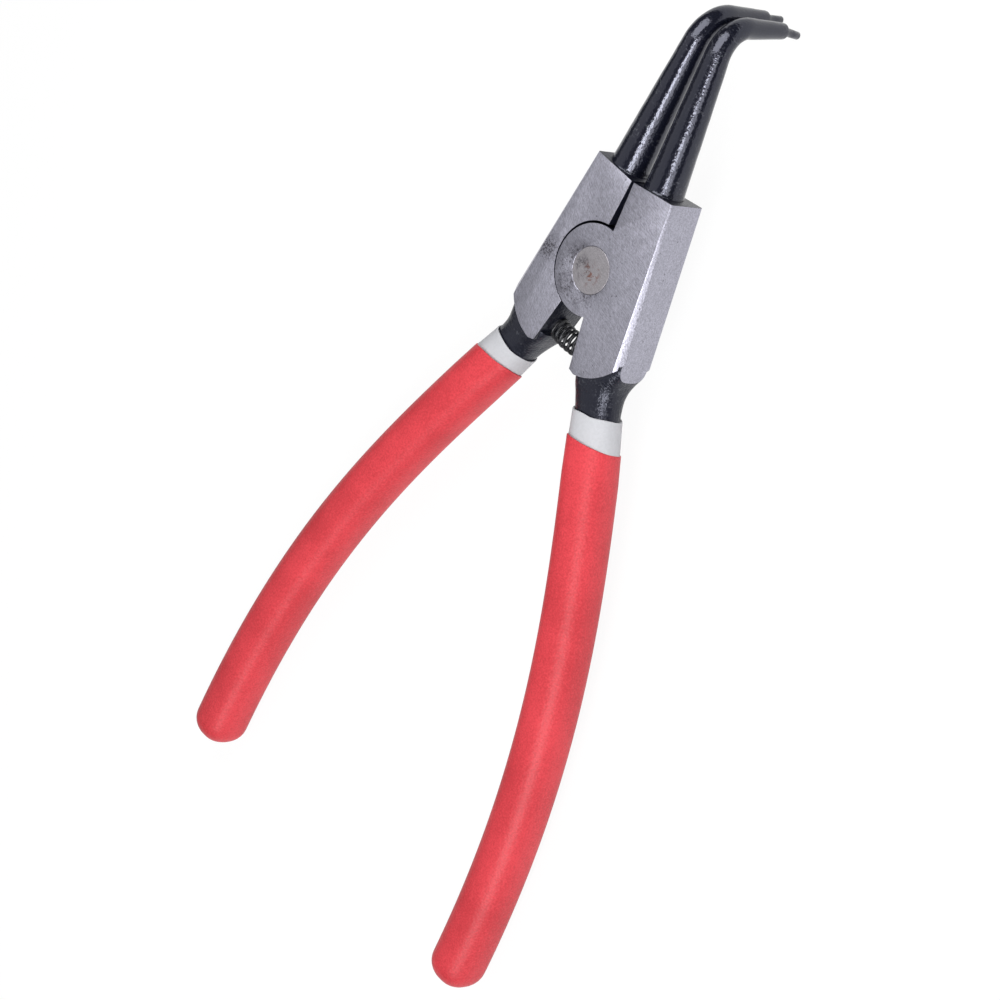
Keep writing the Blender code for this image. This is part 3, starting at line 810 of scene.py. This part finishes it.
class ArmLine:
    """The arm's centre line as places along it, measured from its root in the joint block."""

    def __init__(self, sizes, side):
        self.side = side
        splay = Vector((side * math.sin(sizes.splay), -math.cos(sizes.splay), 0))
        root = Vector((side * (sizes.root_x - ROOT_TRIM[side]), -sizes.root_depth, 0))
        end = Vector((side * sizes.half_spread, -sizes.depth, 0))
        tail = end + Vector((0, sizes.tail, 0))
        self.points = geometry.interpolate_bezier(root, root + sizes.lead * splay, tail, end, 400)
        self.travelled = [0.0]
        for first, second in zip(self.points, self.points[1:]):
            self.travelled.append(self.travelled[-1] + (second - first).length)
        self.length = self.travelled[-1]

    def place(self, distance):
        """A matrix with local X outwards, local Y along the part's Z and local Z along the arm."""
        index = min(bisect.bisect_right(self.travelled, distance), len(self.points) - 1)
        along = (self.points[index] - self.points[index - 1]).normalized()
        outward = self.side * Vector((-along.y, along.x, 0))
        up = Vector((0, 0, 1))
        at = self.points[index - 1] + along * (distance - self.travelled[index - 1])
        return axes(outward, up, outward.cross(up), at)


def between(stations, distance):
    """The values at a distance, on smooth steps between stations of (distance, *values)."""
    if distance <= stations[0][0]:
        return stations[0][1:]
    for low, high in zip(stations, stations[1:]):
        if distance <= high[0]:
            share = (distance - low[0]) / (high[0] - low[0])
            return [a + (b - a) * share for a, b in zip(low[1:], high[1:])]
    return stations[-1][1:]


def neck(sizes, joint, side):
    """The oxidised neck, flared at its root, with the flank's grinding run out on to it."""
    line = ArmLine(sizes, side)
    wide, high = sizes.neck_half_width, sizes.neck_half_height
    flat = THICKNESS / 2 - sizes.neck_step
    end = sizes.neck_end
    flare = sizes.root_flare * FLARE_SHARE[side]
    root = wide - sizes.root_narrowing * NARROWING_SHARE[side]
    stations = [
        (0.0, root, wide + flare, flat, 4.5),
        (0.15 * end, root, wide + 0.92 * flare, flat, 4.5),
        (0.32 * end, (root + wide) / 2, wide + 0.56 * flare, flat, 4.0),
        (0.5 * end, wide, wide + 0.26 * flare, 0.6 * flat + 0.4 * high, 3.2),
        (0.72 * end, wide, wide + 0.08 * flare, 0.2 * flat + 0.8 * high, 2.6),
        (end, wide, wide, high, sizes.section_power),
        (sizes.red_mouth, wide, wide, high, sizes.section_power),
    ]
    bm = bmesh.new()
    stop = (sizes.white_mouth + sizes.red_mouth) / 2
    steps = 44
    centres = []
    for step in range(steps + 1):
        distance = stop * step / steps
        place = line.place(distance)
        nearby = [between(stations, distance + shift * 0.4 * MM) for shift in range(-2, 3)]
        *reaches, power = [sum(column) / 5 for column in zip(*nearby)]
        centres.append((section_ring(bm, place, *reaches, NECK_SEGMENTS, power), place.translation))
    rings = [ring for ring, _ in centres]
    loft(bm, rings)
    roughen(bm, centres, 0.06 * MM, 1.9 * MM, 5 + side)
    for face in bm.faces:
        face.material_index = OXIDE
    point, normal = JointPlan(joint, side).flank()
    mirror = Matrix.Diagonal((side, 1, 1))
    for face in cut_flat(bm, mirror @ point, mirror @ normal):
        face.material_index = GROUND
    return bm


def dip_rings(bm, line, sizes, stations, mouth, slant, lean, seed):
    """Rings of a dip from inside its rounded, wandering lip along the arm and round the blunt end."""
    lip = sizes.lip
    end_reach = sizes.end_round
    inner_end = line.length + stations[-1][4] - end_reach
    rows = [(mouth + 2 * lip, -2.2 * lip, 1.0)] + [
        (mouth + lip * (1 - math.cos(a)), -lip * (1 - math.sin(a)), 1.0)
        for a in [math.pi / 2 * step / 4 for step in range(5)]
    ]
    straight = inner_end - mouth - lip
    count = max(8, round(straight / (1.1 * MM)))
    for step in range(1, count + 1):
        share = step / count
        rows.append((mouth + lip + straight * share, 0.0, max(0.0, 1 - 8 * share)))
    for step in range(1, 9):
        angle = math.pi / 2 * step / 9
        rows.append((inner_end + end_reach * math.sin(angle), -end_reach * (1 - math.cos(angle)), 0.0))
    rings = []
    for distance, grow, waver in rows:
        inner, outer, height = [value + grow for value in between([s[:4] for s in stations], distance)]
        ring = section_ring(bm, Matrix.Identity(4), inner, outer, height, DIP_SEGMENTS, sizes.section_power)
        place = line.place(distance)
        for vert in ring_verts(ring):
            angle = math.atan2(vert.co.y, vert.co.x)
            around = Vector((math.cos(angle), math.sin(angle), seed))
            shift = waver * (sizes.waver * noise.noise(around * 1.3) + slant * vert.co.x - lean * vert.co.y)
            vert.co = place @ (vert.co + Vector((0, 0, line.side * shift)))
        rings.append(ring)
    return rings


def dip(sizes, side, stations, mouth, slant, lean, seed):
    bm = bmesh.new()
    rings = dip_rings(bm, ArmLine(sizes, side), sizes, stations, mouth, slant, lean, seed)
    loft(bm, rings)
    return bm


# Spring


def spring_line(joint, sizes):
    """Points of the coil's wire, bowed on the arc that leaves both seats square."""
    plan = JointPlan(joint)
    lean = math.atan2(joint.throat_bottom - joint.throat_top, joint.throat_depth - joint.lobe_radius)
    inset = sizes.pocket_depth - sizes.seat_gap - sizes.wire_radius
    seat_x = plan.throat_x(-sizes.depth) + inset * math.cos(lean)
    seat_y = -sizes.depth + inset * math.sin(lean)
    bow = seat_x / math.sin(lean)
    centre_y = seat_y + seat_x / math.tan(lean)
    coil = sizes.radius - sizes.wire_radius
    count = sizes.turns * POINTS_PER_TURN
    dead = sizes.closed_share
    points = []
    for index in range(count + 1):
        share = index / count
        reach_share = min(1.0, max(0.0, (share - dead) / (1 - 2 * dead)))
        advance = 0.8 * reach_share + 0.2 * share
        swing = lean * (1 - 2 * advance)
        angle = math.tau * sizes.turns * share
        reach = bow + coil * math.cos(angle)
        height = coil * math.sin(angle)
        points.append(Vector((reach * math.sin(swing), centre_y - reach * math.cos(swing), height)))
    return points


def spring(joint, sizes):
    """The wire as a swept ring along its line."""
    points = spring_line(joint, sizes)
    bm = bmesh.new()
    rings = []
    for index, point in enumerate(points):
        ahead = (points[min(index + 1, len(points) - 1)] - points[max(index - 1, 0)]).normalized()
        place, radius = facing(ahead, point), sizes.wire_radius
        rings.append(section_ring(bm, place, radius, radius, radius, WIRE_SEGMENTS))
    loft(bm, rings)
    return bm


# Operators


class PLIERS_OT_joint_blocks(bpy.types.Operator):
    """Models the two ground joint blocks with their lobes"""

    bl_idname = "pliers.joint_blocks"
    bl_label = "Joint blocks"

    def execute(self, context):
        sizes, finishes = context.scene.pliers_joint, context.scene.pliers_finish
        oxide = material("dull_oxide", lambda: black_oxide("dull_oxide", finishes, 1.0))
        for side, name in SIDE_NAMES.items():
            steel = ground_steel(f"ground_steel_{name}", finishes, GRAIN_TURN[side])
            bm = joint_block(sizes, side)
            make_piece(f"{name}_joint_block", bm, side, [steel, oxide], f"{name}_lever", 25)
        return {"FINISHED"}


class PLIERS_OT_noses(bpy.types.Operator):
    """Models the two bent noses with their stepped pins"""

    bl_idname = "pliers.noses"
    bl_label = "Noses"

    def execute(self, context):
        scene = context.scene
        oxide = material("black_oxide", lambda: black_oxide("black_oxide", scene.pliers_finish))
        for side, name in SIDE_NAMES.items():
            bm = nose(scene.pliers_nose, scene.pliers_joint, side)
            make_piece(f"{name}_nose", bm, side, [oxide])
        return {"FINISHED"}


class PLIERS_OT_necks(bpy.types.Operator):
    """Models the bare necks between the joint and the dips"""

    bl_idname = "pliers.necks"
    bl_label = "Necks"

    def execute(self, context):
        scene = context.scene
        oxide = material("dull_oxide", lambda: black_oxide("dull_oxide", scene.pliers_finish, 1.0))
        for side, name in SIDE_NAMES.items():
            steel = bpy.data.materials[f"ground_steel_{name}"]
            bm = neck(scene.pliers_handle, scene.pliers_joint, side)
            make_piece(f"{name}_neck", bm, side, [steel, oxide])
        return {"FINISHED"}


class PLIERS_OT_rivet(bpy.types.Operator):
    """Models the flush rivet of the joint"""

    bl_idname = "pliers.rivet"
    bl_label = "Rivet"

    def execute(self, context):
        sizes = context.scene.pliers_joint
        half, head, round_off = THICKNESS / 2, RIVET_BOX[1].x, 0.06 * MM
        upper = [
            (sizes.shank_radius, half - sizes.countersink),
            (head, half - round_off),
            (head - round_off / 3, half - round_off / 3),
            (head - round_off, half),
            (head / 2, half),
            (0, half),
        ]
        profile = [(radius, -height) for radius, height in reversed(upper)] + upper
        steel = rivet_steel(context.scene.pliers_finish)
        bm = turned(profile, RIVET_SEGMENTS)
        make_piece("rivet_face", bm, LEFT, [steel], "pivot_rivet", 25)
        return {"FINISHED"}


class PLIERS_OT_spring(bpy.types.Operator):
    """Winds the return spring between its two seats"""

    bl_idname = "pliers.spring"
    bl_label = "Return spring"

    def execute(self, context):
        joint, sizes = context.scene.pliers_joint, context.scene.pliers_spring
        wire = spring_wire(context.scene.pliers_finish)
        coil = spring(joint, sizes)
        piece = make_piece("coil_spring", coil, LEFT, [wire], "return_spring", 60)
        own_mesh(piece)
        return {"FINISHED"}


class PLIERS_OT_undercoats(bpy.types.Operator):
    """Models the white first dips"""

    bl_idname = "pliers.undercoats"
    bl_label = "White dips"

    def execute(self, context):
        sizes, finishes = context.scene.pliers_handle, context.scene.pliers_finish
        white = tuple(finishes.white)
        skin = dipped_skin("white_dip", white, scaled(white, 0.92), 0.5, 2500.0, 0.012 * MM)
        wide, high = sizes.white_half_width, sizes.white_half_height
        under = 0.3 * MM
        covered_wide, covered_high = sizes.grip_half_width - under, sizes.grip_half_height - under
        mouth_high = sizes.red_mouth_half_height - 0.4 * MM
        stations = [
            (sizes.white_mouth, wide, wide, high, -under),
            (sizes.red_mouth, wide + 0.25 * MM, wide + 0.25 * MM, mouth_high, -under),
            (sizes.red_mouth + 2 * MM, wide, wide, mouth_high, -under),
            (sizes.grip_taper_end, covered_wide, covered_wide, covered_high, -under),
        ]
        for side, name in SIDE_NAMES.items():
            mouth = sizes.white_mouth - WHITE_SHIFT[side]
            bm = dip(sizes, side, stations, mouth, WHITE_SLANT[side], WHITE_LEAN[side], WHITE_SEED + side)
            make_piece(f"{name}_white_dip", bm, side, [skin], f"{name}_undercoat", 60)
        return {"FINISHED"}


class PLIERS_OT_grips(bpy.types.Operator):
    """Models the red second dips"""

    bl_idname = "pliers.grips"
    bl_label = "Red dips"

    def execute(self, context):
        sizes, finishes = context.scene.pliers_handle, context.scene.pliers_finish
        skin = dipped_skin("red_dip", finishes.red, finishes.red_deep, 0.42, 3000.0, 0.1 * MM)
        mouth_wide, mouth_high = sizes.red_mouth_half_width, sizes.red_mouth_half_height
        stations = [
            (sizes.red_mouth, mouth_wide, mouth_wide, mouth_high, 0.0),
            (sizes.grip_taper_end, sizes.grip_half_width, sizes.grip_half_width, sizes.grip_half_height, 0.0),
        ]
        for side, name in SIDE_NAMES.items():
            mouth = sizes.red_mouth - RED_SHIFT[side]
            bm = dip(sizes, side, stations, mouth, RED_SLANT[side], RED_LEAN[side], RED_SEED + side)
            make_piece(f"{name}_red_dip", bm, side, [skin], f"{name}_grip", 60)
        return {"FINISHED"}


def panel_light(name, radiance, size, distance, direction):
    """A soft panel of this radiance that faces the joint, with its second side along Y."""
    light = bpy.data.lights.new(name, "AREA")
    light.shape = "RECTANGLE"
    light.size, light.size_y = size
    light.energy = math.pi * radiance * size[0] * size[1]
    outwards = Vector(direction).normalized()
    across = Vector((0, 1, 0)).cross(outwards).normalized()
    put(name, light).matrix_world = axes(across, outwards.cross(across), outwards, distance * outwards)


class PLIERS_OT_stage(bpy.types.Operator):
    """Sets the floor, the soft lights and the camera"""

    bl_idname = "pliers.stage"
    bl_label = "Stage"

    def execute(self, context):
        stage = context.scene.pliers_stage
        self.make_floor(stage)
        self.make_world(context.scene, stage)
        self.make_camera(context.scene, stage)
        panel_light("face_panel", stage.face_light, (0.9, 0.9), 0.8, (-0.5, -0.29, 0.81))
        panel_light("nose_strip", stage.strip_light, (0.22, 0.58), 0.8, (0.55, -0.31, 0.77))
        panel_light("side_panel", stage.side_light, (0.25, 0.5), 0.8, (0.8, -0.1, 0.58))
        panel_light("top_panel", stage.top_light, (0.19, 0.19), 0.2, (0.0, 0.65, 0.76))
        context.scene.view_settings.view_transform = "Standard"
        return {"FINISHED"}

    def make_floor(self, stage):
        """A floor through the pins' ends and the undersides of the grips' ends, which the tool rests on."""
        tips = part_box("left_lever")[0]
        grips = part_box("left_grip")[0]
        tips_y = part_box("left_lever")[1].y
        rise = grips.z - tips.z
        slope = math.atan2(rise, tips_y - grips.y)
        bm = bmesh.new()
        bmesh.ops.create_grid(bm, x_segments=1, y_segments=1, size=2.0)
        bmesh.ops.rotate(bm, cent=(0, 0, 0), matrix=Matrix.Rotation(-slope, 3, "X"), verts=bm.verts)
        bmesh.ops.translate(bm, vec=(0, tips_y, tips.z - 0.4 * MM), verts=bm.verts)
        mesh = bpy.data.meshes.new("floor")
        bm.to_mesh(mesh)
        bm.free()
        floor = put("floor", mesh)
        finish = Finish("pale_floor")
        finish.set(Base_Color=(*stage.floor, 1.0), Roughness=0.7)
        # White shows through to the camera by a share, and whole in what steel mirrors
        seen = finish.node("ShaderNodeLightPath", {}, output="Is Camera Ray") * stage.floor_glow
        seen = seen + finish.node("ShaderNodeLightPath", {}, output="Is Glossy Ray")
        white = finish.node("ShaderNodeEmission", {})
        surface = Value(finish, finish.shader.outputs[0])
        shown = finish.node("ShaderNodeMixShader", {}, seen, surface, white)
        finish.feed(finish.tree.nodes["Material Output"].inputs[0], shown)
        mesh.materials.append(finish.material)

    def make_world(self, scene, stage):
        world = bpy.data.worlds.new("studio")
        world.use_nodes = True
        maker = NodeMaker(world.node_tree)
        background = maker.tree.nodes["Background"]
        maker.feed(background.inputs["Color"], (1.0, 1.0, 1.0, 1.0))
        seen = maker.node("ShaderNodeLightPath", {}, output="Is Camera Ray")
        maker.feed(background.inputs["Strength"], seen * (1.0 - stage.world_light) + stage.world_light)
        scene.world = world

    def make_camera(self, scene, stage):
        camera = put("camera", bpy.data.cameras.new("camera"))
        camera.data.lens = stage.lens
        camera.data.sensor_width = 36.0
        camera.data.clip_start = 0.01
        right = Vector(stage.right_axis).normalized()
        up = Vector(stage.up_axis)
        up = (up - up.dot(right) * right).normalized()
        camera.matrix_world = axes(right, up, right.cross(up), stage.camera_at)
        scene.camera = camera


class PLIERS_PT_panel(bpy.types.Panel):
    """Lists the pieces of the pliers"""

    bl_idname = "PLIERS_PT_panel"
    bl_label = "Circlip pliers"
    bl_space_type = "VIEW_3D"
    bl_region_type = "UI"
    bl_category = "Pliers"

    def draw(self, context):
        for operator in OPERATORS:
            self.layout.operator(operator.bl_idname)


OPERATORS = (
    PLIERS_OT_joint_blocks,
    PLIERS_OT_noses,
    PLIERS_OT_necks,
    PLIERS_OT_rivet,
    PLIERS_OT_spring,
    PLIERS_OT_undercoats,
    PLIERS_OT_grips,
    PLIERS_OT_stage,
)


def register():
    for item in (*GROUPS.values(), *OPERATORS, PLIERS_PT_panel):
        bpy.utils.register_class(item)
    for name, group in GROUPS.items():
        setattr(bpy.types.Scene, name, PointerProperty(type=group))


def unregister():
    for name in GROUPS:
        delattr(bpy.types.Scene, name)
    for item in reversed((*GROUPS.values(), *OPERATORS, PLIERS_PT_panel)):
        bpy.utils.unregister_class(item)


def main():
    register()
    for operator in OPERATORS:
        group, name = operator.bl_idname.split(".")
        getattr(getattr(bpy.ops, group), name)()


if __name__ == "__main__":
    main()
